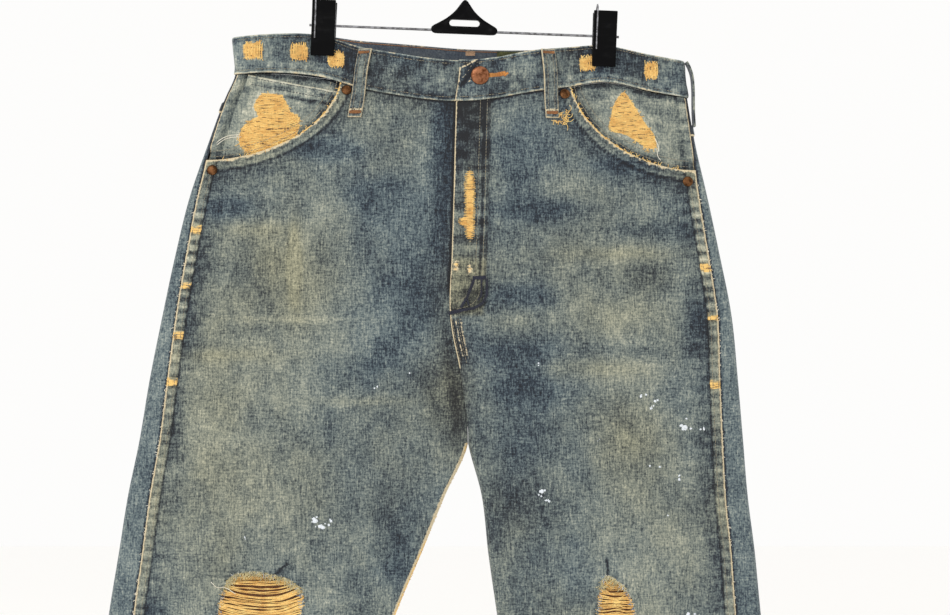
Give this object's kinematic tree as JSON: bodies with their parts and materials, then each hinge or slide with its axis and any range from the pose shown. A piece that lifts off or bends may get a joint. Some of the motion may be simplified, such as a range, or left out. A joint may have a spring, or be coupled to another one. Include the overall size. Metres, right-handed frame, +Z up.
{
  "type": "ripped jeans on a clip hanger",
  "caption": "Worn straight-leg denim jeans with frayed thigh rips, hung flat by the waistband from a two-clip wire hanger.",
  "frame": {"origin": "inside top of the hanger's hook, where a rail carries it", "axes": "+Z up, +Y from the jeans' front to their back, +X to the right as the front is seen (the wearer's left)"},
  "size_m": [0.6788, 0.0528, 1.2773],
  "materials": {
    "denim": "faded blue twill, worn ochre and white at edges",
    "olive_tape": "flat woven tape",
    "weft_thread": "bare ochre cotton threads",
    "aged_copper": "dull aged copper",
    "steel_wire": "drawn wire",
    "black_plastic": "satin moulded black"
  },
  "bodies": {
    "root": {"waistband": "denim", "right_front": "denim", "left_front": "denim", "right_back": "denim", "left_back": "denim", "right_back_edge": "denim", "left_back_edge": "denim", "right_yoke": "denim", "left_yoke": "denim", "right_facing": "denim", "left_facing": "denim", "coin_pocket": "denim", "right_back_pocket": "denim", "left_back_pocket": "denim", "right_front_loop": "denim", "left_front_loop": "denim", "left_side_loop": "denim", "right_back_loop": "denim", "centre_back_loop": "denim", "label_strip": "olive_tape", "right_rip_threads": "weft_thread", "left_rip_threads": "weft_thread", "button": "aged_copper", "rivet_1": "aged_copper", "rivet_2": "aged_copper", "rivet_3": "aged_copper", "rivet_4": "aged_copper", "hook": "steel_wire", "right_bar": "steel_wire", "left_bar": "steel_wire", "right_clip_spring": "steel_wire", "left_clip_spring": "steel_wire", "hanger_head": "black_plastic", "right_clip_front": "black_plastic", "right_clip_back": "black_plastic", "left_clip_front": "black_plastic", "left_clip_back": "black_plastic"}
  },
  "joints": []
}
